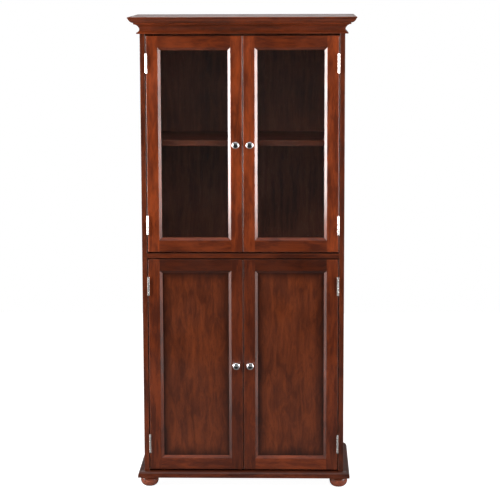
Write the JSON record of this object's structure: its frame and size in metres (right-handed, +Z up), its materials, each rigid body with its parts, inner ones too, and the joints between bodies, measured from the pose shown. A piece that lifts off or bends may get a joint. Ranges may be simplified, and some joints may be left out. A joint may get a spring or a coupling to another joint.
{
  "type": "pantry cabinet",
  "caption": "Tall free-standing pantry cabinet with glazed upper doors, panelled lower doors, inner shelves, a stepped crown, a moulded base and bun feet.",
  "frame": {"origin": "bottom centre of the bounding box, on the floor", "axes": "+Z up, the doors face -Y, +X to the right seen from the front"},
  "size_m": [0.804, 0.446, 1.702],
  "materials": {
    "stained_wood": "red mahogany stain under gloss lacquer",
    "panel_veneer": "stained crown-cut veneer, darker towards its edges, gloss lacquer",
    "back_veneer": "dark stained veneer, satin",
    "shelf_wood": "dark red stain, satin lacquer",
    "foot_wood": "turned foot, lighter red stain, gloss lacquer",
    "dowel_beech": "bare beech",
    "clear_glass": "clear float glass",
    "knob_chrome": "polished chrome",
    "hinge_nickel": "bright nickel plate",
    "screw_nickel": "nickel plated steel",
    "nickel_steel": "nickel plated pressed steel",
    "zinc_steel": "zinc plated steel",
    "catch_plastic": "dark brown moulded plastic",
    "glide_plastic": "dark moulded plastic"
  },
  "bodies": {
    "carcass": {"left_side_panel": "stained_wood", "right_side_panel": "stained_wood", "top_panel": "stained_wood", "fixed_shelf": "stained_wood", "base_board": "stained_wood", "upper_back_panel": "back_veneer", "lower_back_panel": "back_veneer", "cornice_board": "stained_wood", "crown_front": "stained_wood", "crown_left": "stained_wood", "crown_right": "stained_wood", "upper_shelf": "shelf_wood", "lower_shelf": "shelf_wood", "shelf_pins": "nickel_steel", "foot_front_left": "foot_wood", "foot_front_right": "foot_wood", "foot_rear_left": "foot_wood", "foot_rear_right": "foot_wood", "foot_bolts": "zinc_steel", "foot_glides": "glide_plastic", "magnetic_catches": "catch_plastic", "frame_hinge_leaves": "hinge_nickel", "hinge_pins": "hinge_nickel", "carcass_screws": "screw_nickel", "cam_fittings": "zinc_steel", "dowels": "dowel_beech"},
    "upper_left_door": {"upper_left_door_hinge_stile": "stained_wood", "upper_left_door_lock_stile": "stained_wood", "upper_left_door_rails": "stained_wood", "upper_left_door_glass": "clear_glass", "upper_left_door_glazing_beads": "stained_wood", "upper_left_door_knob": "knob_chrome", "upper_left_door_hinge_leaves": "hinge_nickel", "upper_left_door_strike_plate": "zinc_steel", "upper_left_door_screws": "screw_nickel"},
    "upper_right_door": {"upper_right_door_hinge_stile": "stained_wood", "upper_right_door_lock_stile": "stained_wood", "upper_right_door_rails": "stained_wood", "upper_right_door_glass": "clear_glass", "upper_right_door_glazing_beads": "stained_wood", "upper_right_door_knob": "knob_chrome", "upper_right_door_hinge_leaves": "hinge_nickel", "upper_right_door_strike_plate": "zinc_steel", "upper_right_door_screws": "screw_nickel"},
    "lower_left_door": {"lower_left_door_hinge_stile": "stained_wood", "lower_left_door_lock_stile": "stained_wood", "lower_left_door_rails": "stained_wood", "lower_left_door_panel": "panel_veneer", "lower_left_door_knob": "knob_chrome", "lower_left_door_hinge_leaves": "hinge_nickel", "lower_left_door_strike_plate": "zinc_steel", "lower_left_door_screws": "screw_nickel"},
    "lower_right_door": {"lower_right_door_hinge_stile": "stained_wood", "lower_right_door_lock_stile": "stained_wood", "lower_right_door_rails": "stained_wood", "lower_right_door_panel": "panel_veneer", "lower_right_door_knob": "knob_chrome", "lower_right_door_hinge_leaves": "hinge_nickel", "lower_right_door_strike_plate": "zinc_steel", "lower_right_door_screws": "screw_nickel"}
  },
  "joints": [
    {"name": "upper_left_door_hinge", "type": "hinge", "parent": "carcass", "child": "upper_left_door", "pos_m": [-0.3402, -0.1872, 1.25115], "axis": [0, 0, -1], "range_deg": [0, 180]},
    {"name": "upper_right_door_hinge", "type": "hinge", "parent": "carcass", "child": "upper_right_door", "pos_m": [0.3402, -0.1872, 1.25115], "axis": [0, 0, 1], "range_deg": [0, 180]},
    {"name": "lower_left_door_hinge", "type": "hinge", "parent": "carcass", "child": "lower_left_door", "pos_m": [-0.3402, -0.1872, 0.4521], "axis": [0, 0, -1], "range_deg": [0, 180]},
    {"name": "lower_right_door_hinge", "type": "hinge", "parent": "carcass", "child": "lower_right_door", "pos_m": [0.3402, -0.1872, 0.4521], "axis": [0, 0, 1], "range_deg": [0, 180]}
  ]
}
